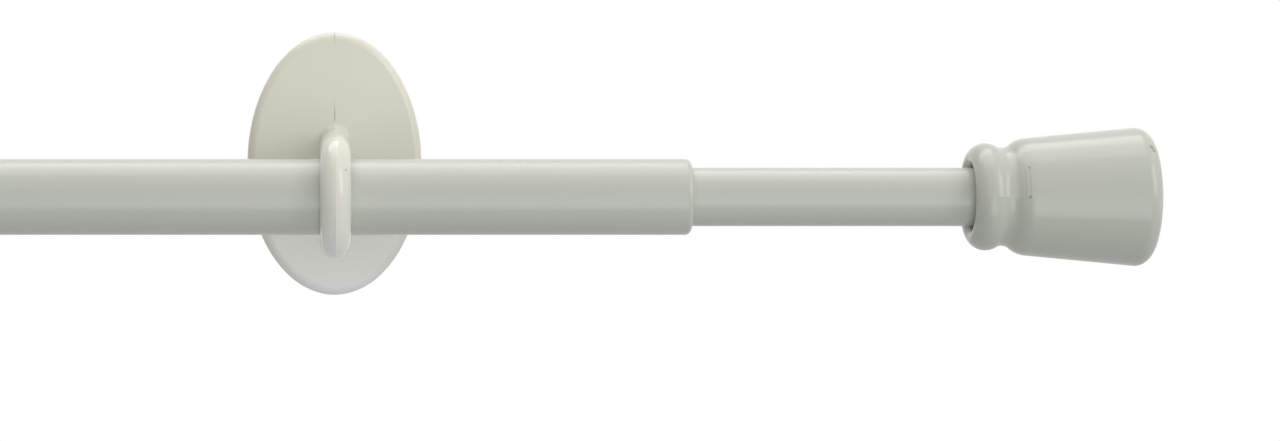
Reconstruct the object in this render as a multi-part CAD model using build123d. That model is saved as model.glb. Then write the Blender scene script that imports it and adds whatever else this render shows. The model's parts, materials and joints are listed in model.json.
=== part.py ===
from build123d import *
import math
import os

# Extendable cafe curtain rod on two self-adhesive hook brackets, in millimetres.
# The origin is the centre of the right bracket's wall face: X along the rod, Y into the wall, Z up.

# Tubes
outer_d = 13.0
inner_d = 10.0
tube_wall = 0.5
tube_length = 300.0
lip_r = 1.0
lip_clearance = 0.15

# Guide bush on the hidden end of the inner tube
bush_length = 14.0
bush_lip = 1.0
bush_lip_step = 0.6
bush_clearance = 0.15
bush_grip = 0.02

# Finial profile, turned about the rod axis and measured from the mouth
bead_r = 3.1
bead_top = 9.15
neck_r = 2.2
neck_bottom = 8.36
shoulder_r = 4.55
cone_start = 9.84
cone_start_r = 10.03
cone_end_r = 12.04
finial_length = 30.9
end_edge_r = 2.5

# Finial bores: the left mouth takes the outer tube, the right one stands clear of the inner tube
mouth_clearance = 0.1
slim_mouth_gap = 1.1
mouth_depth = 9.0
mouth_edge_r = 0.9
seat_clearance = 0.05
seat_depth = 23.0
seat_lead = 0.5
seat_end_gap = 0.2

# Wall plate and its adhesive pad
plate_width = 30.9
plate_height = 46.5
plate_thickness = 3.4
plate_crown = 0.32
plate_edge_r = 1.6
pad_thickness = 1.0
pad_inset = 1.0

# Hook: a stem that deepens towards the plate, a loop down the rod's front and an upturned tip below it
bar_width = 5.3
bar_depth = 4.1
bar_arch = 3.0
bar_arch_slope = 8.0
bar_arch_pull = 0.55
bar_corner_r = 1.0
loop_inner_r = 6.7
loop_rest_gap = 0.1
tip_angle = 22.0
throat_clearance = 0.4
stem_rise = 1.15
root_r = 1.2
root_steps = 9
stem_bury = 1.2

# Layout along the rod and below the plate's centre
rod_drop = 5.9
outer_end_x = 60.6
mouth_x = 107.79
left_bracket_x = -178.0

# Values that follow: the throat behind the hook's tip lets the outer tube pass
outer_r = outer_d / 2
inner_r = inner_d / 2
tip_lean = math.radians(tip_angle)
bar_centre_r = loop_inner_r + bar_depth / 2
tip_reach = bar_centre_r * math.sin(tip_lean) + bar_width / 2 * math.cos(tip_lean)
rod_reach = tip_reach + outer_d + throat_clearance
rod_y = -(pad_thickness + plate_thickness + rod_reach)
rod_z = -rod_drop
outer_start_x = outer_end_x - tube_length
inner_end_x = mouth_x + seat_depth - seat_end_gap
inner_start_x = inner_end_x - tube_length
left_mouth_x = outer_start_x + mouth_depth - seat_end_gap


def on_rod(part):
    # Carries a piece turned about the X axis onto the rod's axis.
    return Pos(0, rod_y, rod_z) * part


def turned(outline):
    # Turns a closed outline, drawn with X along the rod and Y as the radius.
    return revolve(make_face(outline), axis=Axis.X)


# Outer tube: plain at the left end, its right end rolled inward to guide the inner tube
outer_bore = outer_r - tube_wall
lip_bore = inner_r + lip_clearance
lip_x = outer_end_x - lip_r
lip_mid = outer_r - lip_r
roll = math.sqrt(0.5)
outer_tube = turned(
    [
        Line((outer_start_x, outer_bore), (outer_start_x, outer_r)),
        Line((outer_start_x, outer_r), (lip_x, outer_r)),
        ThreePointArc(
            (lip_x, outer_r),
            (lip_x + lip_r * roll, lip_mid + lip_r * roll),
            (outer_end_x, lip_mid),
        ),
        Line((outer_end_x, lip_mid), (outer_end_x, lip_bore)),
        Line((outer_end_x, lip_bore), (outer_end_x - tube_wall, lip_bore)),
        Line((outer_end_x - tube_wall, lip_bore), (outer_end_x - tube_wall, lip_mid)),
        ThreePointArc(
            (outer_end_x - tube_wall, lip_mid),
            (lip_x + (lip_r - tube_wall) * roll, lip_mid + (lip_r - tube_wall) * roll),
            (lip_x, outer_bore),
        ),
        Line((lip_x, outer_bore), (outer_start_x, outer_bore)),
    ]
)
outer_tube = on_rod(outer_tube)

# Inner tube: plain at both ends
inner_bore = inner_r - tube_wall
inner_tube = turned(
    Polyline(
        (inner_start_x, inner_bore),
        (inner_start_x, inner_r),
        (inner_end_x, inner_r),
        (inner_end_x, inner_bore),
        close=True,
    )
)
inner_tube = on_rod(inner_tube)

# Guide bush: a sleeve over the inner tube's hidden end, with a lip the tube's end seats against
bush_r = outer_bore - bush_clearance
bush_bore = inner_r + bush_grip
bush_lip_bore = inner_bore - bush_lip_step
bush_start_x = inner_start_x - bush_lip
bush_end_x = bush_start_x + bush_length
guide_bush = turned(
    Polyline(
        (bush_start_x, bush_lip_bore),
        (bush_start_x, bush_r - bush_lip_step),
        (bush_start_x + bush_lip_step, bush_r),
        (bush_end_x - bush_lip_step, bush_r),
        (bush_end_x, bush_r - bush_lip_step),
        (bush_end_x, bush_bore),
        (inner_start_x, bush_bore),
        (inner_start_x, bush_lip_bore),
        close=True,
    )
)
guide_bush = on_rod(guide_bush)


# Finial: bead, neck and shoulder are arcs that meet in tangency, then a flaring cone to a flat end
def point_between(a, b, distance):
    # The point at a distance from a towards b, where two tangent arcs meet.
    span = math.hypot(b[0] - a[0], b[1] - a[1])
    return (a[0] + (b[0] - a[0]) * distance / span, a[1] + (b[1] - a[1]) * distance / span)


def arc_about(centre, radius, start, end):
    # The short arc about a centre from one point to another.
    mid = ((start[0] + end[0]) / 2, (start[1] + end[1]) / 2)
    return ThreePointArc(start, point_between(centre, mid, radius), end)


flare = (cone_end_r - cone_start_r) / (finial_length - cone_start)
flare_angle = math.atan(flare)
shoulder_c = (
    cone_start + shoulder_r * math.sin(flare_angle),
    cone_start_r - shoulder_r * math.cos(flare_angle),
)
neck_c_r = neck_bottom + neck_r
neck_span = math.sqrt((neck_r + shoulder_r) ** 2 - (neck_c_r - shoulder_c[1]) ** 2)
neck_c = (shoulder_c[0] - neck_span, neck_c_r)
bead_c_r = bead_top - bead_r
bead_span = math.sqrt((neck_r + bead_r) ** 2 - (neck_c_r - bead_c_r) ** 2)
bead_c = (neck_c[0] - bead_span, bead_c_r)
edge_x = finial_length - end_edge_r
edge_c = (edge_x, cone_start_r + flare * (edge_x - cone_start) - end_edge_r / math.cos(flare_angle))

seat_r = inner_r + seat_clearance
bead_top_point = (bead_c[0], bead_top)
bead_to_neck = point_between(bead_c, neck_c, bead_r)
neck_low_point = (neck_c[0], neck_bottom)
neck_to_shoulder = point_between(neck_c, shoulder_c, neck_r)
cone_from = (cone_start, cone_start_r)
cone_to = (
    edge_c[0] - end_edge_r * math.sin(flare_angle),
    edge_c[1] + end_edge_r * math.cos(flare_angle),
)
end_rim = (finial_length, edge_c[1])


def finial_with_mouth(mouth_r):
    # The finial with a mouth of the given radius, which steps down to the seat for the inner tube.
    rim = (bead_c[0] - math.sqrt(bead_r**2 - (mouth_r - bead_c_r) ** 2), mouth_r)
    finial = turned(
        [
            arc_about(bead_c, bead_r, rim, bead_top_point),
            arc_about(bead_c, bead_r, bead_top_point, bead_to_neck),
            arc_about(neck_c, neck_r, bead_to_neck, neck_low_point),
            arc_about(neck_c, neck_r, neck_low_point, neck_to_shoulder),
            arc_about(shoulder_c, shoulder_r, neck_to_shoulder, cone_from),
            Line(cone_from, cone_to),
            arc_about(edge_c, end_edge_r, cone_to, end_rim),
            Line(end_rim, (finial_length, 0)),
            Line((finial_length, 0), (seat_depth, 0)),
            Line((seat_depth, 0), (seat_depth, seat_r)),
            Line((seat_depth, seat_r), (mouth_depth + seat_lead, seat_r)),
            Line((mouth_depth + seat_lead, seat_r), (mouth_depth, seat_r + seat_lead)),
            Line((mouth_depth, seat_r + seat_lead), (mouth_depth, mouth_r)),
            Line((mouth_depth, mouth_r), rim),
        ]
    )
    mouth_edge = finial.edges().filter_by(GeomType.CIRCLE).sort_by(Axis.X)[0]
    return fillet(mouth_edge, mouth_edge_r)


right_finial = on_rod(Pos(mouth_x, 0, 0) * finial_with_mouth(inner_r + slim_mouth_gap))
left_finial = on_rod(Pos(left_mouth_x, 0, 0) * Rot(0, 0, 180) * finial_with_mouth(outer_r + mouth_clearance))

# Bracket bar: the section across the hook, with X across and Y away from the loop's centre
half = bar_width / 2
low = -bar_depth / 2
lean = math.radians(bar_arch_slope)
crest_pull = bar_arch_pull * half
side_pull = bar_arch_pull * bar_arch
corner = bar_corner_r * (1 - roll)


def side_of(sign, lift):
    # One half of the section, from the parting line over the side to the middle of the inner face.
    crest = bar_depth / 2 + lift
    arch_base = crest - bar_arch
    return [
        Bezier(
            (0, crest),
            (sign * crest_pull * math.cos(lean), crest - crest_pull * math.sin(lean)),
            (sign * half, arch_base + side_pull),
            (sign * half, arch_base),
        ),
        Line((sign * half, arch_base), (sign * half, low + bar_corner_r)),
        ThreePointArc(
            (sign * half, low + bar_corner_r),
            (sign * (half - corner), low + corner),
            (sign * (half - bar_corner_r), low),
        ),
        Line((sign * (half - bar_corner_r), low), (0, low)),
    ]


def section_lifted(lift):
    # The whole section with its arch lifted, as the root needs it near the plate.
    return make_face(side_of(1, lift) + side_of(-1, lift))


bar_section = section_lifted(0)
half_section = make_face(side_of(1, 0) + [Line((0, low), (0, bar_depth / 2))])

# Hook: the section runs out of the plate, turns round the loop's centre and ends in a domed tip
front_y = -(pad_thickness + plate_thickness)
loop_z = rod_z + loop_inner_r - loop_rest_gap - outer_r
bar_z = loop_z + bar_centre_r
top_plane = Plane(origin=(0, rod_y, bar_z), x_dir=(1, 0, 0), z_dir=(0, -1, 0))
loop_axis = Axis((0, rod_y, loop_z), (1, 0, 0))
loop = revolve(top_plane * bar_section, axis=loop_axis, revolution_arc=180 + tip_angle)
tip_dome = revolve(top_plane * half_section, axis=Axis((0, rod_y, bar_z), (0, 0, 1)), revolution_arc=-180)
tip = tip_dome.rotate(loop_axis, 180 + tip_angle)

# Wall plate: an oval slab, crowned across its front for the mould, with a rounded front edge
wall_plane = Plane(origin=(0, 0, 0), x_dir=(1, 0, 0), z_dir=(0, -1, 0))
slab = extrude(
    Pos(0, -pad_thickness, 0) * (wall_plane * Ellipse(plate_width / 2, plate_height / 2)),
    amount=plate_thickness,
)
crown_r = ((plate_width / 2) ** 2 + plate_crown**2) / (2 * plate_crown)
crown = Pos(0, front_y + crown_r, 0) * Cylinder(crown_r, plate_height)
plate = slab & crown
front_face = plate.faces().sort_by(Axis.Y)[0]
plate = fillet(front_face.edges(), plate_edge_r)


# Stem: it starts inside the plate with a hollow curve, and its crest falls evenly on the way to the loop
def stem_section(y, lift):
    # The bar's section across the stem at a place along Y, with its arch lifted.
    return Plane(origin=(0, y, bar_z), x_dir=(1, 0, 0), z_dir=(0, -1, 0)) * section_lifted(lift)


stem_reach = front_y - rod_y
stem_sections = [stem_section(front_y + stem_bury, stem_rise + root_r)]
for step in range(root_steps + 1):
    turn = math.radians(90) * step / root_steps
    out = root_r * (1 - math.cos(turn))
    lift = stem_rise * (1 - out / stem_reach) + root_r * (1 - math.sin(turn))
    stem_sections.append(stem_section(front_y - out, lift))
stem_sections.append(stem_section(rod_y, 0))
stem = loft(stem_sections, ruled=True)
bracket = plate + stem + loop + tip

right_bracket = bracket
left_bracket = Pos(left_bracket_x, 0, 0) * bracket

# Adhesive pad: foam tape behind the plate, set in from its edge
pad = extrude(
    wall_plane * Ellipse(plate_width / 2 - pad_inset, plate_height / 2 - pad_inset),
    amount=pad_thickness,
)
right_adhesive_pad = pad
left_adhesive_pad = Pos(left_bracket_x, 0, 0) * pad

nodes = {
    "outer_tube": outer_tube,
    "inner_tube": inner_tube,
    "guide_bush": guide_bush,
    "right_finial": right_finial,
    "left_finial": left_finial,
    "right_bracket": right_bracket,
    "left_bracket": left_bracket,
    "right_adhesive_pad": right_adhesive_pad,
    "left_adhesive_pad": left_adhesive_pad,
}
os.makedirs("parts", exist_ok=True)
for name, shape in nodes.items():
    export_step(shape, f"parts/{name}.step")
    box = shape.bounding_box()
    print(name, len(shape.solids()), round(shape.volume, 1), box.min, box.max)
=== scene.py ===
import json
import math

import bmesh
import bpy
import numpy as np
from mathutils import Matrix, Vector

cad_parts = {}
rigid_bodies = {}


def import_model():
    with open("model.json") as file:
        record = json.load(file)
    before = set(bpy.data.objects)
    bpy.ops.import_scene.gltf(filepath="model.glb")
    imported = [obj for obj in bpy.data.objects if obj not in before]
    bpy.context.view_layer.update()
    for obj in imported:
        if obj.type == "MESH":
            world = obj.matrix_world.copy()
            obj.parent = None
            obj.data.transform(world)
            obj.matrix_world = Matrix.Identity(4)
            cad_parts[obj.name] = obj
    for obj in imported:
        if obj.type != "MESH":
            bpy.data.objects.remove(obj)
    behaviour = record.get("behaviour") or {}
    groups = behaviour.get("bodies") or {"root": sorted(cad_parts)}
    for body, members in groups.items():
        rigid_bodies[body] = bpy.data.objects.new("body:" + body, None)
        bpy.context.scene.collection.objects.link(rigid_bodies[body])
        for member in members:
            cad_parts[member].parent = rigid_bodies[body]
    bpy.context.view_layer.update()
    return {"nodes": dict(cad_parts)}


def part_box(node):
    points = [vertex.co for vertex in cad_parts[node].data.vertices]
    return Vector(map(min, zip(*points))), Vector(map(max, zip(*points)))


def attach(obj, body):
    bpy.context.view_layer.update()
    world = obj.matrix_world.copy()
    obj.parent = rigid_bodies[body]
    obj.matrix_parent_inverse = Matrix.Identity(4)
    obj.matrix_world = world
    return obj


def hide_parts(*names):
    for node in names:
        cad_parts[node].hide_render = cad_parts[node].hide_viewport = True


for leftover in list(bpy.data.objects):
    bpy.data.objects.remove(leftover)
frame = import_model()
mm = 0.001  # shapes are worked out in millimetres and put into the mesh in metres
tiny = 1e-6  # in millimetres, points closer than this are one
weldGap, sliver = 2e-7, 1e-7  # in metres, what the mesh merges and what it dissolves


def span(node):
    # lowest and highest corner of a node, in millimetres
    low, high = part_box(node)
    return np.array(low) / mm, np.array(high) / mm


outerLow, outerHigh = span("outer_tube")
innerLow, innerHigh = span("inner_tube")
plateLow, plateHigh = span("right_bracket")
padLow, padHigh = span("right_adhesive_pad")
rodY = (outerLow[1] + outerHigh[1]) / 2
rodZ = (outerLow[2] + outerHigh[2]) / 2
outerR = (outerHigh[2] - outerLow[2]) / 2
innerR = (innerHigh[2] - innerLow[2]) / 2
halfWide = (plateHigh[0] - plateLow[0]) / 2
halfTall = (plateHigh[2] - plateLow[2]) / 2


# meshes

def arc(centre, radius, startDeg, endDeg, steps):
    # points on a circle from one angle to another, ends included
    a = np.radians(np.linspace(startDeg, endDeg, steps))
    return np.stack([centre[0] + radius * np.cos(a), centre[1] + radius * np.sin(a)], 1)


def straight(start, end, steps):
    return np.linspace(start, end, steps)


def chain(*runs):
    # joins runs of points into one outline and drops points that repeat
    points = np.concatenate([np.asarray(r, float).reshape(-1, 2) for r in runs])
    keep = np.ones(len(points), bool)
    keep[1:] = np.hypot(*(points[1:] - points[:-1]).T) > tiny
    return points[keep]


def ringAngles(count, seamsDeg, reachDeg, finest):
    # an even ring of angles, crowded towards each seam: offsets grow in even ratios from the finest
    steps, clear = 14, 1.2  # offsets to each side of a seam, and how many reaches the even angles stay off
    even = np.linspace(0, 360, count, endpoint=False)
    seams = np.array(seamsDeg, float)
    offsets = np.concatenate([[0.0], np.geomspace(finest, reachDeg, steps)])
    near = (seams[:, None] + np.concatenate([offsets, -offsets])).ravel() % 360
    gap = np.abs((even[:, None] - seams + 180) % 360 - 180).min(1)
    return np.radians(np.unique(np.round(np.concatenate([near, even[gap > reachDeg * clear]]), 5)))


def gridFaces(rows, cols, closeRows, closeCols, first):
    # quads between neighbouring rows and columns, wrapped round where the grid closes
    index = first + np.arange(rows * cols).reshape(rows, cols)
    if closeRows:
        index = np.concatenate([index, index[:1]], 0)
    if closeCols:
        index = np.concatenate([index, index[:, :1]], 1)
    return np.stack([index[:-1, :-1], index[1:, :-1], index[1:, 1:], index[:-1, 1:]], -1).reshape(-1, 4)


def addPiece(name, grids, finish, body, node):
    # grids: (points of rows x columns x 3 in millimetres, closeRows, closeCols, painted groove shade of
    # rows x columns);
    # poles merge to one point
    verts, grooveShade, quads, first = [], [], [], 0
    for points, closeRows, closeCols, grooveDark in grids:
        rows, cols = points.shape[:2]
        verts.append(points.reshape(-1, 3) * mm)
        grooveShade.append(np.broadcast_to(grooveDark, (rows, cols)).ravel())
        quads.append(gridFaces(rows, cols, closeRows, closeCols, first))
        first += rows * cols
    verts, quads = np.concatenate(verts), np.concatenate(quads).astype(np.int32)
    mesh = bpy.data.meshes.new(name)
    mesh.vertices.add(len(verts))
    mesh.vertices.foreach_set("co", verts.astype(np.float32).ravel())
    mesh.loops.add(quads.size)
    mesh.loops.foreach_set("vertex_index", quads.ravel())
    mesh.polygons.add(len(quads))
    mesh.polygons.foreach_set("loop_start", np.arange(0, quads.size, 4, dtype=np.int32))
    mesh.update(calc_edges=True)
    # painted shade: a share for each point by which the plastic is darkened in its grooves
    layer = mesh.attributes.new("grooveShade", "FLOAT", "POINT")
    layer.data.foreach_set("value", np.concatenate(grooveShade).astype(np.float32))
    work = bmesh.new()
    work.from_mesh(mesh)
    bmesh.ops.remove_doubles(work, verts=work.verts, dist=weldGap)
    bmesh.ops.dissolve_degenerate(work, edges=work.edges, dist=sliver)
    bmesh.ops.recalc_face_normals(work, faces=work.faces)
    work.to_mesh(mesh)
    work.free()
    mesh.polygons.foreach_set("use_smooth", np.ones(len(mesh.polygons), bool))
    mesh.materials.append(finish)
    piece = bpy.data.objects.new(name, mesh)
    bpy.context.scene.collection.objects.link(piece)
    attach(piece, body)
    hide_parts(node)
    print("piece:", name, len(mesh.polygons), "faces")


def lathe(outline, angles, swell=0.0):
    # turns an outline of (x, radius) about the rod: at angle a the point stands radius * cos(a) towards
    # the room and radius * sin(a) up; swell adds to the radius, as an array of outline x angles
    radius = outline[:, 1:2] + swell + 0 * angles
    x = outline[:, :1] + 0 * angles
    return np.stack([x, rodY - radius * np.cos(angles), rodZ + radius * np.sin(angles)], -1)


# finishes

class Socket:
    # a shader value that takes part in sums
    def __init__(self, tree, link):
        self.tree, self.link = tree, link

    def maths(self, operation, first, second):
        step = self.tree.nodes.new("ShaderNodeMath")
        step.operation = operation
        for slotIn, value in zip(step.inputs, (first, second)):
            if isinstance(value, Socket):
                self.tree.links.new(value.link, slotIn)
            else:
                slotIn.default_value = value
        return Socket(self.tree, step.outputs[0])

    def __add__(self, other):
        return self.maths("ADD", self, other)

    def __radd__(self, other):
        return self.maths("ADD", other, self)

    def __sub__(self, other):
        return self.maths("SUBTRACT", self, other)

    def __rsub__(self, other):
        return self.maths("SUBTRACT", other, self)

    def __mul__(self, other):
        return self.maths("MULTIPLY", self, other)

    def __rmul__(self, other):
        return self.maths("MULTIPLY", other, self)

    def __lt__(self, other):
        return self.maths("LESS_THAN", self, other)


class Finish:
    # a node tree, and what is asked of it
    def __init__(self, owner):
        self.owner = owner
        owner.use_nodes = True
        self.tree = owner.node_tree

    def node(self, kind, settings, inputs, output=0):
        # a node by type: its settings first, then the values or links of its sockets
        made = self.tree.nodes.new(kind)
        for key, value in settings.items():
            setattr(made, key, value)
        self.fill(made, inputs)
        return Socket(self.tree, made.outputs[output])

    def fill(self, made, inputs):
        for key, value in inputs.items():
            if isinstance(value, Socket):
                self.tree.links.new(value.link, made.inputs[key])
            else:
                made.inputs[key].default_value = value

    def last(self, kind, inputs):
        # values and links of a node that the tree came with
        self.fill(next(n for n in self.tree.nodes if n.type == kind), inputs)

    def cloud(self, place, scale, detail):
        inputs = {"Vector": place, "Scale": scale, "Detail": detail}
        return self.node("ShaderNodeTexNoise", {}, inputs, "Fac")

    def specks(self, place, scale, size, share):
        # small round dots: a cell's dot shows where the random value of the cell is under the share
        near = self.node("ShaderNodeTexVoronoi", {}, {"Vector": place, "Scale": scale}, "Distance")
        tint = self.node("ShaderNodeTexVoronoi", {}, {"Vector": place, "Scale": scale}, "Color")
        chance = self.node("ShaderNodeSeparateColor", {}, {"Color": tint}, 0)
        return (near < size) * (chance < share)

    def spot(self, place, centre, radius):
        # one at the centre, falling evenly to nothing at the radius, both in millimetres
        middle = tuple(c * mm for c in centre)
        away = self.node("ShaderNodeVectorMath", {"operation": "DISTANCE"}, {0: place, 1: middle}, "Value")
        return (away < radius * mm) * (1 - away * (1 / (radius * mm)))

    def seen(self):
        # one where a ray shows the surface to the eye, straight on, in gloss or through glass
        straightOn = self.node("ShaderNodeLightPath", {}, {}, "Is Camera Ray")
        inGloss = self.node("ShaderNodeLightPath", {}, {}, "Is Glossy Ray")
        through = self.node("ShaderNodeLightPath", {}, {}, "Is Transmission Ray")
        return straightOn + inGloss + through

    def tint(self, amount, low, high):
        return self.node("ShaderNodeMix", {"data_type": "RGBA"}, {0: amount, 6: low, 7: high}, 2)


def newFinish(name):
    return Finish(bpy.data.materials.new(name))


tubeFinish = {
    "tone": (0.580, 0.600, 0.538, 1),
    "toneWarm": (0.596, 0.608, 0.543, 1),
    "speck": (0.30, 0.29, 0.25, 1),
    "drift": (22.0, 3.0),  # scale and detail of the slow change of tone
    "dots": (95.0, 0.016, 0.35),  # cells in a metre, a dot's size in its cell, share of cells with one
    "dotStrength": 0.6,
    "roughness": 0.26,
    "sway": 0.04,  # how far the roughness goes up and down
    "specular": 0.5,
    "peel": (620.0, 2.0),  # scale and detail of the lacquer's fine waves
    "peelStrength": 0.05,
    "peelDepth": 0.0002,
}


def makeLacquer(look):
    f = newFinish("off_white_lacquer")
    place = f.node("ShaderNodeTexCoord", {}, {}, "Object")
    drift = f.cloud(place, *look["drift"])
    peel = f.cloud(place, *look["peel"])
    dots = f.specks(place, *look["dots"])
    tone = f.tint(drift, look["tone"], look["toneWarm"])
    tone = f.tint(dots * look["dotStrength"], tone, look["speck"])
    bump = f.node("ShaderNodeBump", {}, {
        "Strength": look["peelStrength"], "Distance": look["peelDepth"], "Height": peel})
    f.last("BSDF_PRINCIPLED", {
        "Base Color": tone,
        "Roughness": look["roughness"] - look["sway"] + drift * (2 * look["sway"]),
        "Normal": bump,
        "Specular IOR Level": look["specular"],
    })
    return f.owner


# what both mouldings have in common, named as for the lacquer
plastic = {
    "drift": (55.0, 3.0),
    "dots": (120.0, 0.02, 0.25),
    "dotStrength": 0.7,
    "sway": 0.03,
    "waveDepth": 0.0004,
}
bracketFinish = {
    "name": "bracket_plastic",
    "tone": (0.820, 0.808, 0.702, 1),
    "toneWarm": (0.836, 0.819, 0.708, 1),
    "speck": (0.22, 0.20, 0.16, 1),
    "roughness": 0.12,
    "specular": 0.3,
    # painted shade: the hook takes a slightly darker, less yellow tone than the plate of the same plastic
    "hook": (0.800, 0.790, 0.694, 1),
    "hookFrom": 0.2,  # the hook's looks begin at this share of the bracket's depth
    "hookTo": 0.6,  # and are full at this share of the rod's distance from the wall
    "polish": 0.3,  # clear gloss of the hook
    "polishRoughness": 0.05,
    "paintedLightFoot": (0.930, 0.928, 0.878, 1),  # painted light: the lower end is paler and less yellow, standing in for light from below the rod
    "waves": (330.0, 1.0),  # scale and detail of the hook's unevenness
    "waveStrength": 0.30,
    "plateWaves": 0.25,  # share of it that the plate has
    "grooveShadeStrength": 0.55,  # how far painted shade darkens the plastic along the parting line's groove
    "marks": [((1.71, rodY - 8.93, rodZ + 4.51), 0.27)],  # place and radius of small spots of dirt
}
finialFinish = {
    "name": "finial_plastic",
    "tone": (0.556, 0.577, 0.506, 1),
    "toneWarm": (0.574, 0.585, 0.511, 1),
    "speck": (0.22, 0.21, 0.16, 1),
    "roughness": 0.20,
    "specular": 0.45,
    "waves": (160.0, 1.0),
    "waveStrength": 0.04,
    "grooveShadeStrength": 0.3,
    "marks": [
        ((137.2, rodY - 8.0, rodZ + 8.4), 0.60),
        ((137.5, rodY - 8.4, rodZ + 7.8), 0.50),
        ((116.5, rodY - 8.40, rodZ + 4.9), 0.28),
        ((116.4, rodY - 9.72, rodZ), 0.38),
    ],
}


def makePlastic(look):
    f = newFinish(look["name"])
    place = f.node("ShaderNodeTexCoord", {}, {}, "Object")
    drift = f.cloud(place, *plastic["drift"])
    ripple = f.cloud(place, *look["waves"])
    dots = f.specks(place, *plastic["dots"])
    colour = f.tint(drift, look["tone"], look["toneWarm"])
    colour = f.tint(dots * plastic["dotStrength"], colour, look["speck"])
    if "paintedLightFoot" in look:
        depth = f.node("ShaderNodeSeparateXYZ", {}, {"Vector": place}, "Y")
        onHook = f.node("ShaderNodeMapRange", {"interpolation_type": "SMOOTHSTEP"}, {
            "Value": depth,
            "From Min": plateLow[1] * mm * look["hookFrom"],
            "From Max": rodY * mm * look["hookTo"],
        })
        ripple = ripple * (look["plateWaves"] + onHook * (1 - look["plateWaves"]))
        # painted shade: a slightly darker, less yellow tone on the hook
        colour = f.tint(onHook, colour, look["hook"])
        f.last("BSDF_PRINCIPLED", {
            "Coat Weight": onHook * look["polish"], "Coat Roughness": look["polishRoughness"]})
        # painted light: the plate turns paler and less yellow from its middle down to its lower end
        height = f.node("ShaderNodeSeparateXYZ", {}, {"Vector": place}, "Z")
        paintedLightBelow = f.node("ShaderNodeMapRange", {"interpolation_type": "SMOOTHSTEP"}, {
            "Value": height, "From Min": 0.0, "From Max": -halfTall * mm})
        colour = f.tint(paintedLightBelow, colour, look["paintedLightFoot"])
    for spot, radius in look["marks"]:
        colour = f.tint(f.spot(place, spot, radius), colour, look["speck"])
    # painted shade: the plastic darkens towards the speck colour in the grooves of the parting line and the
    # gate's scar
    grooveShade = f.node("ShaderNodeAttribute", {"attribute_name": "grooveShade"}, {}, "Fac")
    colour = f.tint(grooveShade * look["grooveShadeStrength"], colour, look["speck"])
    bump = f.node("ShaderNodeBump", {}, {
        "Strength": look["waveStrength"], "Distance": plastic["waveDepth"], "Height": ripple})
    f.last("BSDF_PRINCIPLED", {
        "Base Color": colour,
        "Roughness": look["roughness"] - plastic["sway"] + drift * (2 * plastic["sway"]),
        "Normal": bump,
        "Specular IOR Level": look["specular"],
    })
    return f.owner


foamFinish = {
    "name": "foam_tape",
    "tone": (0.78, 0.78, 0.75, 1),
    "toneDark": (0.70, 0.70, 0.67, 1),
    "drift": (140.0, 3.0),
    "roughness": 0.75,
    "rougher": 0.15,  # added where the tone is dark
    "cells": 2600.0,
    "cellStrength": 0.5,
    "cellDepth": 0.0002,
}
bushFinish = {
    "name": "natural_bush_plastic",
    "tone": (0.76, 0.76, 0.73, 1),
    "toneDark": (0.68, 0.68, 0.64, 1),
    "drift": (180.0, 3.0),
    "roughness": 0.45,
    "rougher": 0.1,
}


def makePlain(look):
    f = newFinish(look["name"])
    place = f.node("ShaderNodeTexCoord", {}, {}, "Object")
    drift = f.cloud(place, *look["drift"])
    tone = f.tint(drift, look["tone"], look["toneDark"])
    rough = look["roughness"] + drift * look["rougher"]
    f.last("BSDF_PRINCIPLED", {"Base Color": tone, "Roughness": rough})
    if "cells" in look:
        cells = f.node("ShaderNodeTexVoronoi", {}, {"Vector": place, "Scale": look["cells"]}, "Distance")
        bump = f.node("ShaderNodeBump", {}, {
            "Strength": look["cellStrength"], "Distance": look["cellDepth"], "Height": cells})
        f.last("BSDF_PRINCIPLED", {"Normal": bump})
    return f.owner


lacquer = makeLacquer(tubeFinish)
bracketPlastic = makePlastic(bracketFinish)
finialPlastic = makePlastic(finialFinish)
foam = makePlain(foamFinish)
bushPlastic = makePlain(bushFinish)
print("finishes: ready")

# tubes

tube = {
    "wall": 0.5,
    "lipR": 1.0,
    "lipBore": innerR + 0.15,
    "lipEdge": 0.1,
    "cutEdge": 0.08,
    "round": 160,
    "along": 40,
}


def outerTubeOutline():
    # along the outside, round the rolled end to its lip, back along the inside
    start, end = outerLow[0], outerHigh[0]
    wall, lipR, bore, fine = tube["wall"], tube["lipR"], tube["lipBore"], tube["lipEdge"]
    centre = (end - lipR, outerR - lipR)
    return chain(
        straight((start, outerR - tube["cutEdge"]), (start + tube["cutEdge"], outerR), 2),
        straight((start + tube["cutEdge"], outerR), (end - lipR, outerR), tube["along"]),
        arc(centre, lipR, 90, 0, 14),
        arc((end - fine, bore + fine), fine, 0, -90, 4),
        straight((end - fine, bore), (end - wall, bore), 3),
        arc(centre, lipR - wall, 0, 90, 8),
        straight((end - lipR, outerR - wall), (start, outerR - wall), 8),
    )


def innerTubeOutline():
    start, end, cut = innerLow[0], innerHigh[0], tube["cutEdge"]
    bore = innerR - tube["wall"]
    return chain(
        straight((start, innerR - cut), (start + cut, innerR), 2),
        straight((start + cut, innerR), (end - cut, innerR), tube["along"]),
        straight((end - cut, innerR), (end, innerR - cut), 2),
        straight((end, bore), (start, bore), 8),
    )


tubeAngles = np.linspace(0, 2 * np.pi, tube["round"], endpoint=False)
addPiece(
    "outer_tube_skin", [(lathe(outerTubeOutline(), tubeAngles), True, True, 0.0)],
    lacquer, "outer_tube", "outer_tube",
)
addPiece(
    "inner_tube_skin", [(lathe(innerTubeOutline(), tubeAngles), True, True, 0.0)],
    lacquer, "inner_tube", "inner_tube",
)

# finials

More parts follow.
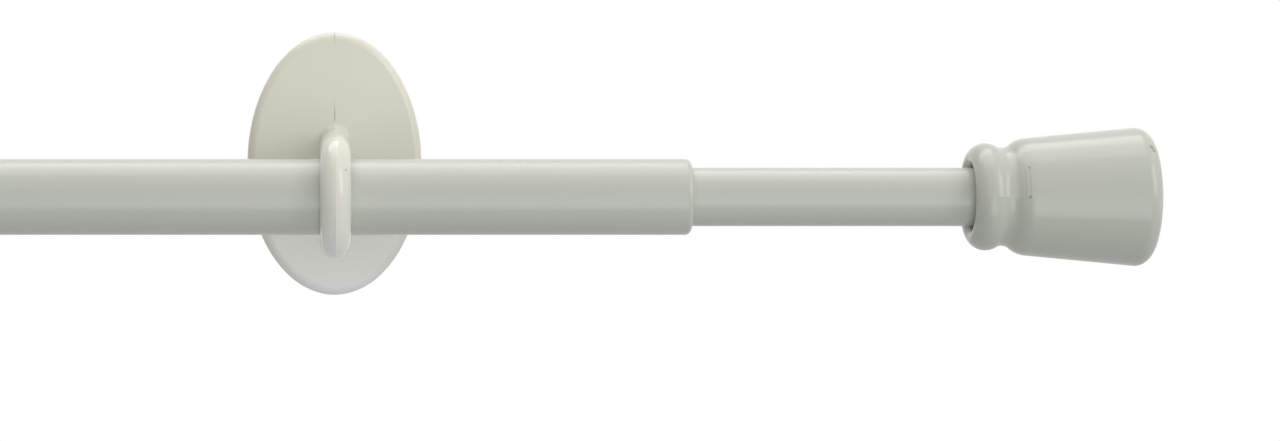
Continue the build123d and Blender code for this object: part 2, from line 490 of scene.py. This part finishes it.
finial = {
    "beadR": 3.1, "beadTop": 9.15,
    "neckR": 2.2, "neckBottom": 8.36,
    "shoulderR": 4.55, "coneStart": 9.84, "coneStartR": 10.03, "coneEndR": 12.04,
    "length": 30.9, "endEdgeR": 2.5,
    "mouthDepth": 9.0,
    "rightMouth": (innerR + 0.7, 1.25),  # radius of the bore and rounding of its rim
    "leftMouth": (outerR + 0.1, 0.9),
    "seatR": innerR + 0.05, "seatDepth": 23.0, "seatLead": 0.5,
    "flash": 0.045, "flashWidth": 0.30,
    "flashEnd": 2.0, "flashFade": 1.2,  # it fades from this far before the cone
    "skinDepth": 1.2,  # only what lies less than this under the neck belongs to the outside
    # the gate's mark above the front line: where its grooves stand, how far round they go, depth and width
    "scar": (7.95, 8.70), "scarTurn": 31.0, "scarDepth": 0.03, "scarWide": 0.07,
    "round": 150,
    "crowd": (14.0, 0.25),  # points gather this many degrees about a line, the first this close
}


def finialOutline(mouthR, edge):
    # bead, neck and shoulder are arcs that meet in tangency, then a cone to a rounded end;
    # the bore steps down from the mouth to the seat
    s = finial
    flare = (s["coneEndR"] - s["coneStartR"]) / (s["length"] - s["coneStart"])
    lean = math.atan(flare)
    slope = math.degrees(lean)
    edgeR = s["endEdgeR"]
    shoulderC = np.array([
        s["coneStart"] + s["shoulderR"] * math.sin(lean),
        s["coneStartR"] - s["shoulderR"] * math.cos(lean),
    ])
    neckC = np.array([0.0, s["neckBottom"] + s["neckR"]])
    neckC[0] = shoulderC[0] - math.sqrt((s["neckR"] + s["shoulderR"]) ** 2 - (neckC[1] - shoulderC[1]) ** 2)
    beadC = np.array([0.0, s["beadTop"] - s["beadR"]])
    beadC[0] = neckC[0] - math.sqrt((s["neckR"] + s["beadR"]) ** 2 - (neckC[1] - beadC[1]) ** 2)
    edgeX = s["length"] - edgeR
    edgeC = (edgeX, s["coneStartR"] + flare * (edgeX - s["coneStart"]) - edgeR / math.cos(lean))
    coneEnd = (edgeX - edgeR * math.sin(lean), edgeC[1] + edgeR * math.cos(lean))
    toNeck = math.degrees(math.atan2(*(neckC - beadC)[::-1]))
    toShoulder = math.degrees(math.atan2(*(shoulderC - neckC)[::-1]))
    rimY = mouthR + edge
    rimC = (beadC[0] - math.sqrt((s["beadR"] - edge) ** 2 - (rimY - beadC[1]) ** 2), rimY)
    toRim = math.degrees(math.atan2(rimC[1] - beadC[1], rimC[0] - beadC[0]))
    inner = chain(
        straight((s["seatDepth"], 0), (s["seatDepth"], s["seatR"]), 6),
        straight((s["seatDepth"], s["seatR"]), (s["mouthDepth"] + s["seatLead"], s["seatR"]), 6),
        [(s["mouthDepth"], s["seatR"] + s["seatLead"]), (s["mouthDepth"], mouthR)],
        straight((s["mouthDepth"], mouthR), (rimC[0], mouthR), 8),
    )
    outer = chain(
        arc(rimC, edge, 270, toRim, 10),
        arc(beadC, s["beadR"], toRim, toNeck, 40),
        arc(neckC, s["neckR"], toNeck + 180, toShoulder + 360, 28),
        arc(shoulderC, s["shoulderR"], toShoulder + 180, 90 + slope, 90),
        straight((s["coneStart"], s["coneStartR"]), coneEnd, 24),
        arc(edgeC, edgeR, 90 + slope, 0, 22),
        straight((s["length"], edgeC[1]), (s["length"], 0), 14),
    )
    return inner, outer


def finialGrid(mouthX, way, mouth):
    # the mould's flash line runs along the front and back of bead and neck: a ridge that falls off
    # evenly with the distance round the piece and fades before the cone
    inner, outer = finialOutline(*mouth)
    angles = ringAngles(finial["round"], (0, 180), *finial["crowd"])
    outline = chain(inner, outer)
    shallow = outline[:, 1] > finial["neckBottom"] - finial["skinDepth"]
    onOutside = (np.arange(len(outline)) >= len(inner)) & shallow
    away = np.abs(np.angle(np.exp(2j * angles))) / 2
    past = np.maximum(0, outline[:, 0] - finial["coneStart"] + finial["flashEnd"])
    weight = np.where(onOutside, np.exp(-(past / finial["flashFade"]) ** 2), 0.0)
    fall = np.exp(-np.outer(outline[:, 1], away) / finial["flashWidth"])
    ridge = finial["flash"] * fall * weight[:, None]
    # the gate's scar is two bell-shaped grooves that run from the front line up to its turn
    across = (outline[:, :1] - finial["scar"]) / finial["scarWide"]
    lines = np.where(onOutside, np.exp(-across ** 2).sum(1), 0.0)
    scar = np.outer(lines, (angles > 0) & (angles < math.radians(finial["scarTurn"])))
    placed = outline * (way, 1) + (mouthX, 0)
    return lathe(placed, angles, ridge - finial["scarDepth"] * scar), scar


finialPlaces = (
    ("right", span("right_finial")[1][0] - finial["length"], 1),
    ("left", span("left_finial")[0][0] + finial["length"], -1),
)
for side, mouthX, way in finialPlaces:
    shape, scar = finialGrid(mouthX, way, finial[side + "Mouth"])
    node = side + "_finial"
    # the scar's grooves also carry painted shade in the plastic's colour
    addPiece(node + "_skin", [(shape, False, True, scar)], finialPlastic, node, node)

# brackets

bracket = {
    "plateThickness": 3.4, "crown": 0.32,
    "edgeR": 1.6, "backEdge": 0.25,
    "barWidth": 5.3, "barDepth": 4.1, "arch": 3.0, "archSlope": 8.0, "archPull": 0.55, "cornerR": 1.0,
    "loopInnerR": 6.7, "restGap": 0.1, "tipAngle": 22.0, "stemRise": 1.15, "rootR": 1.2, "rootDepth": 0.4,
    "flash": 0.06, "flashWidth": 0.12, "flashFaint": 0.25,  # the moulding's raised line on the hook
    "flashTurn": (110, 6),  # degrees round the loop where the line gains its strength, and how softly
    "seam": 0.09, "seamWidth": 0.07, "seamFaint": 0.06,  # and its fine groove on the plate
    "rimFade": 1.7, "aboveRoot": 1.2, "rootFade": 1.6,  # where the groove is deep
    "round": 150,
    "crowd": (16.0, 0.1),
    "faceSteps": 60, "edgeSteps": 16, "backSteps": 8,
    "archSteps": 36, "rootSteps": 12, "stemSteps": 10, "loopSteps": 90, "tipSteps": 14,
}
padBack = padHigh[1]
padFront = padLow[1]
frontY = padFront - bracket["plateThickness"]
crownR = (halfWide ** 2 + bracket["crown"] ** 2) / (2 * bracket["crown"])
loopZ = rodZ + bracket["loopInnerR"] - bracket["restGap"] - outerR
barR = bracket["loopInnerR"] + bracket["barDepth"] / 2
rootTop = loopZ + barR + bracket["barDepth"] / 2 + bracket["stemRise"] + bracket["rootR"]


def plateFront(x):
    # a shallow cylinder across the plate
    return frontY + crownR - np.sqrt(crownR ** 2 - x ** 2)


def seamDepth(x, z):
    # the parting line is a fine groove, a bell curve across, deep on the upper rim and just above the hook
    rim = np.exp(-((halfTall - z) / bracket["rimFade"]) ** 2)
    root = np.exp(-((z - rootTop - bracket["aboveRoot"]) / bracket["rootFade"]) ** 2)
    depth = bracket["seamFaint"] + (1 - bracket["seamFaint"]) * np.maximum(rim, root)
    return bracket["seam"] * depth * np.exp(-(x / bracket["seamWidth"]) ** 2)


def plateGrid():
    # rows run from the middle of the face over the round edge, down the side and back to the middle
    # behind; columns go round the oval, and each point lies inset from the rim along its normal
    t = ringAngles(bracket["round"], (90, 270), *bracket["crowd"])
    edge = np.stack([halfWide * np.cos(t), halfTall * np.sin(t)], 1)
    out = np.stack([halfTall * np.cos(t), halfWide * np.sin(t)], 1)
    out /= np.linalg.norm(out, axis=1, keepdims=True)
    edgeR = bracket["edgeR"]
    face = np.linspace(0, 1, bracket["faceSteps"])[:-1, None, None] * (edge - edgeR * out)
    faceY = plateFront(face[..., 0]) + seamDepth(face[..., 0], face[..., 1])
    # over turns from the face to the side, about the edge's centre
    over = np.radians(np.linspace(270, 180, bracket["edgeSteps"]))[:, None]
    rim = edge - edgeR * (1 + np.cos(over))[..., None] * out
    groove = seamDepth(rim[..., 0], rim[..., 1])
    rimY = plateFront(rim[..., 0]) + edgeR * (1 + np.sin(over)) - groove * np.sin(over)
    rim = rim + (groove * np.cos(over))[..., None] * out
    flat, y = np.concatenate([face, rim]), np.concatenate([faceY, rimY])
    front = np.stack([flat[..., 0], y, flat[..., 1]], -1)
    lip = bracket["backEdge"]
    turns = np.radians([0, 45, 90])[:, None, None]
    side = edge - lip * (1 - np.cos(turns)) * out
    sideY = padFront - lip * (1 - np.sin(turns[..., 0])) + 0 * t
    behind = np.linspace(1, 0, bracket["backSteps"])[1:, None, None] * (edge - lip * out)
    flat = np.concatenate([side, behind])
    y = np.concatenate([sideY, np.full((len(behind), len(t)), padFront)])
    back = np.stack([flat[..., 0], y, flat[..., 1]], -1)
    # painted shade follows the depth of the seam's groove
    grooveShade = np.concatenate([seamDepth(face[..., 0], face[..., 1]), groove]) / bracket["seam"]
    return np.concatenate([front, back]), np.concatenate([grooveShade, np.zeros(back.shape[:2])])


def barSection():
    # half the section from the parting line outside to the middle of the inside: a cubic arch that
    # leaves the line at a slope, a straight side and a round inner corner; the other half mirrors it
    b = bracket
    half, top, low = b["barWidth"] / 2, b["barDepth"] / 2, -b["barDepth"] / 2
    base = top - b["arch"]
    lean = math.radians(b["archSlope"])
    crestPull, sidePull = b["archPull"] * half, b["archPull"] * b["arch"]
    u = (np.linspace(0, 1, b["archSteps"]) ** 2)[:, None]  # closer together near the line
    knots = np.array([
        (0, top),
        (crestPull * math.cos(lean), top - crestPull * math.sin(lean)),
        (half, base + sidePull),
        (half, base),
    ])
    curve = ((1 - u) ** 3 * knots[0] + 3 * u * (1 - u) ** 2 * knots[1]
             + 3 * u ** 2 * (1 - u) * knots[2] + u ** 3 * knots[3])
    right = chain(
        curve,
        straight((half, base), (half, low + b["cornerR"]), 4),
        arc((half - b["cornerR"], low + b["cornerR"]), b["cornerR"], 0, -90, 8),
        straight((half - b["cornerR"], low), (0, low), 5),
    )
    left = right[-2:0:-1] * (-1, 1)
    return np.concatenate([right, left])


def hookGrid():
    # the section is carried out of the plate, round the loop's centre and over a dome at the tip;
    # its arch is lifted evenly towards the plate, and there by a quarter circle into the face
    b = bracket
    section = barSection()
    x, y = section[:, 0], section[:, 1]
    onArch = (y > b["barDepth"] / 2 - b["arch"] - tiny).astype(float)
    ridge = b["flash"] * np.exp(-np.abs(x) / b["flashWidth"]) * onArch
    root, reach = b["rootR"], frontY - rodY
    turn = np.linspace(0, np.pi / 2, b["rootSteps"])
    along = np.linspace(root, reach, b["stemSteps"])[1:]
    out = np.concatenate([[-b["rootDepth"]], root * (1 - np.cos(turn)), along])
    fillet = np.concatenate([[root], root * (1 - np.sin(turn)), 0 * along])
    lift = (b["stemRise"] * (1 - np.maximum(out, 0) / reach) + fillet)[:, None]
    stemZ = barR + y + lift * onArch + ridge * b["flashFaint"]
    stem = np.stack([x + 0 * lift, frontY - out[:, None] + 0 * stemZ, loopZ + stemZ], -1)

    g = np.radians(np.linspace(0, 180 + b["tipAngle"], b["loopSteps"]))[1:, None]
    gainAt, soft = b["flashTurn"]
    strength = b["flashFaint"] + (1 - b["flashFaint"]) / (1 + np.exp((gainAt - np.degrees(g)) / soft))
    r = barR + y + ridge * strength
    loop = np.stack([x + 0 * r, rodY - r * np.sin(g), loopZ + r * np.cos(g)], -1)

    end = math.radians(180 + b["tipAngle"])
    a = np.linspace(0, np.pi / 2, b["tipSteps"])[1:, None]
    r, past = barR + y + ridge, np.abs(x) * np.sin(a)
    tip = np.stack([
        x * np.cos(a), rodY - r * math.sin(end) - past * math.cos(end),
        loopZ + r * math.cos(end) - past * math.sin(end)], -1)
    return np.concatenate([stem, loop, tip])


plate, plateGrooveShade = plateGrid()
hook = hookGrid()
for side in ("right", "left"):
    low, high = span(side + "_bracket")
    middleX = (low[0] + high[0]) / 2
    addPiece(
        side + "_bracket_skin",
        [(plate + (middleX, 0, 0), False, True, plateGrooveShade), (hook + (middleX, 0, 0), False, True, 0.0)],
        bracketPlastic, side + "_bracket", side + "_bracket",
    )

# adhesive pads

pad = {
    "waver": 0.06, "waves": (7, 13), "waveShift": 1.0,
    "bulge": 0.05,
    "round": 160, "faceSteps": 8, "sideSteps": 7,
}


def padGrid(middleX):
    # an oval slab whose cut edge wavers a little and bulges under pressure
    t = np.linspace(0, 2 * np.pi, pad["round"], endpoint=False)
    a, b = (padHigh[0] - padLow[0]) / 2 - pad["bulge"], (padHigh[2] - padLow[2]) / 2 - pad["bulge"]
    slow, fast = pad["waves"]
    waver = 1 - pad["waver"] / a * (0.5 + 0.5 * np.sin(slow * t + pad["waveShift"]) * np.sin(fast * t))
    edge = np.stack([a * np.cos(t) * waver, b * np.sin(t) * waver], 1)
    face = np.linspace(0, 1, pad["faceSteps"])
    depth = np.linspace(0, 1, pad["sideSteps"])[1:-1]
    shares = np.concatenate([face, 1 + pad["bulge"] / a * np.sin(np.pi * depth), face[::-1]])
    y = padBack + (padFront - padBack) * np.concatenate([0 * face, depth, np.ones(len(face))])
    flat = shares[:, None, None] * edge
    return np.stack([middleX + flat[..., 0], y[:, None] + 0 * t, flat[..., 1]], -1)


for side in ("right", "left"):
    low, high = span(side + "_adhesive_pad")
    addPiece(
        side + "_pad_foam", [(padGrid((low[0] + high[0]) / 2), False, True, 0.0)],
        foam, side + "_bracket", side + "_adhesive_pad",
    )

bush = frame["nodes"]["guide_bush"]
bush.data.materials.clear()
bush.data.materials.append(bushPlastic)

# studio

studio = {
    "ambient": 0.47,
    "ambientLean": 0.15,  # brighter on the right by this much, darker on the left
    "ambientTint": (1.0, 1.0, 0.985, 1),
    "floorDrop": 1.0,
    "floorHalf": 4.0,
    "floorTone": (0.58, 0.59, 0.60, 1),
    "floorPale": 0.60,  # share of plain white in the floor as it is seen, the rest takes light and shadow
    "aim": (0.05, rodY * mm, rodZ * mm),
    "away": 1.0,
}
# each lamp: degrees to the right of the camera's way and above the rod, width and height, watts, tint
# and, where it doesn't stand square to the aim, how far it is slid along the rod
lamps = {
    "overhead": {"around": 0, "above": 112, "size": (1.0, 0.40), "power": 3.3, "slide": -0.2},
    "fill": {"around": 0, "above": 86, "size": (1.0, 0.50), "power": 2.3, "slide": -0.2},
    "right": {"around": 51, "above": 23, "size": (0.40, 0.75), "power": 2.55, "tint": (1.0, 0.99, 0.97)},
    "left": {"around": -25, "above": 25, "size": (0.08, 0.88), "power": 0.24},
    "front": {"around": 3, "above": -5, "size": (0.45, 0.32), "power": 0.45, "tint": (0.92, 0.97, 1.0)},
    "low": {"around": 5, "above": -25, "size": (0.65, 0.38), "power": 1.5, "tint": (0.93, 0.96, 1.0)},
}


def makeStudio():
    world = bpy.data.worlds.new("studio")
    bpy.context.scene.world = world
    w = Finish(world)
    seen = w.seen()
    way = w.node("ShaderNodeTexCoord", {}, {}, "Generated")
    across = w.node("ShaderNodeSeparateXYZ", {}, {"Vector": way}, "X")
    light = studio["ambient"] + across * studio["ambientLean"]
    room = w.node("ShaderNodeBackground", {}, {"Color": studio["ambientTint"], "Strength": light})
    white = w.node("ShaderNodeBackground", {}, {"Color": (1, 1, 1, 1), "Strength": 1.0})
    w.last("OUTPUT_WORLD", {"Surface": w.node("ShaderNodeMixShader", {}, {0: seen, 1: room, 2: white})})

    h, drop = studio["floorHalf"], studio["floorDrop"]
    mesh = bpy.data.meshes.new("floor")
    mesh.from_pydata([(-h, -h, -drop), (h, -h, -drop), (h, h, -drop), (-h, h, -drop)], [], [(0, 1, 2, 3)])
    floor = bpy.data.objects.new("floor", mesh)
    bpy.context.scene.collection.objects.link(floor)
    f = newFinish("floor_paper")
    paper = f.node("ShaderNodeBsdfDiffuse", {}, {"Color": studio["floorTone"]})
    white = f.node("ShaderNodeEmission", {}, {"Color": (1, 1, 1, 1), "Strength": 1.0})
    pale = f.node("ShaderNodeMixShader", {}, {0: f.seen() * studio["floorPale"], 1: paper, 2: white})
    f.last("OUTPUT_MATERIAL", {"Surface": pale})
    mesh.materials.append(f.owner)


def addLamp(name):
    # a softbox on a sphere about the aim, turned to face it
    setting = lamps[name]
    lamp = bpy.data.lights.new(name, "AREA")
    lamp.shape = "RECTANGLE"
    lamp.size, lamp.size_y = setting["size"]
    lamp.energy = setting["power"]
    lamp.color = setting.get("tint", (1.0, 1.0, 1.0))
    stand = bpy.data.objects.new(name, lamp)
    bpy.context.scene.collection.objects.link(stand)
    around, above = math.radians(setting["around"]), math.radians(setting["above"])
    out = (math.sin(around) * math.cos(above), -math.cos(around) * math.cos(above), math.sin(above))
    slide = (setting.get("slide", 0.0), 0, 0)
    stand.location = np.array(studio["aim"]) + studio["away"] * np.array(out) + slide
    stand.rotation_euler = (math.pi / 2 - above, 0, around)


makeStudio()
for name in lamps:
    addLamp(name)
print("studio:", len(lamps), "lamps")

# camera: square to the rod, level with it and opposite the right bracket, framed by its shift

photo = {
    "width": 1280, "height": 441,
    "pixelsPerMm": 5.86,  # at the rod's axis
    "bracketX": 335.4, "axisY": 196.9,  # where the right bracket's middle and the rod's axis show
    "principalX": 310.0, "principalY": 197.5,
    "distance": 535.0,
    "sensor": 36.0,
    "clip": (0.01, 50),
}
eye = bpy.data.cameras.new("camera")
eye.sensor_width = photo["sensor"]
eye.lens = photo["sensor"] * photo["pixelsPerMm"] * photo["distance"] / photo["width"]
eye.shift_x = (photo["width"] / 2 - photo["principalX"]) / photo["width"]
eye.shift_y = (photo["principalY"] - photo["height"] / 2) / photo["width"]
eye.clip_start, eye.clip_end = photo["clip"]
camera = bpy.data.objects.new("camera", eye)
bpy.context.scene.collection.objects.link(camera)
camera.location = (
    (photo["principalX"] - photo["bracketX"]) / photo["pixelsPerMm"] * mm,
    (rodY - photo["distance"]) * mm,
    (rodZ + (photo["axisY"] - photo["principalY"]) / photo["pixelsPerMm"]) * mm,
)
camera.rotation_euler = (math.pi / 2, 0, 0)
bpy.context.scene.camera = camera
bpy.context.scene.view_settings.view_transform = "Standard"
print("camera: lens", round(eye.lens, 1))
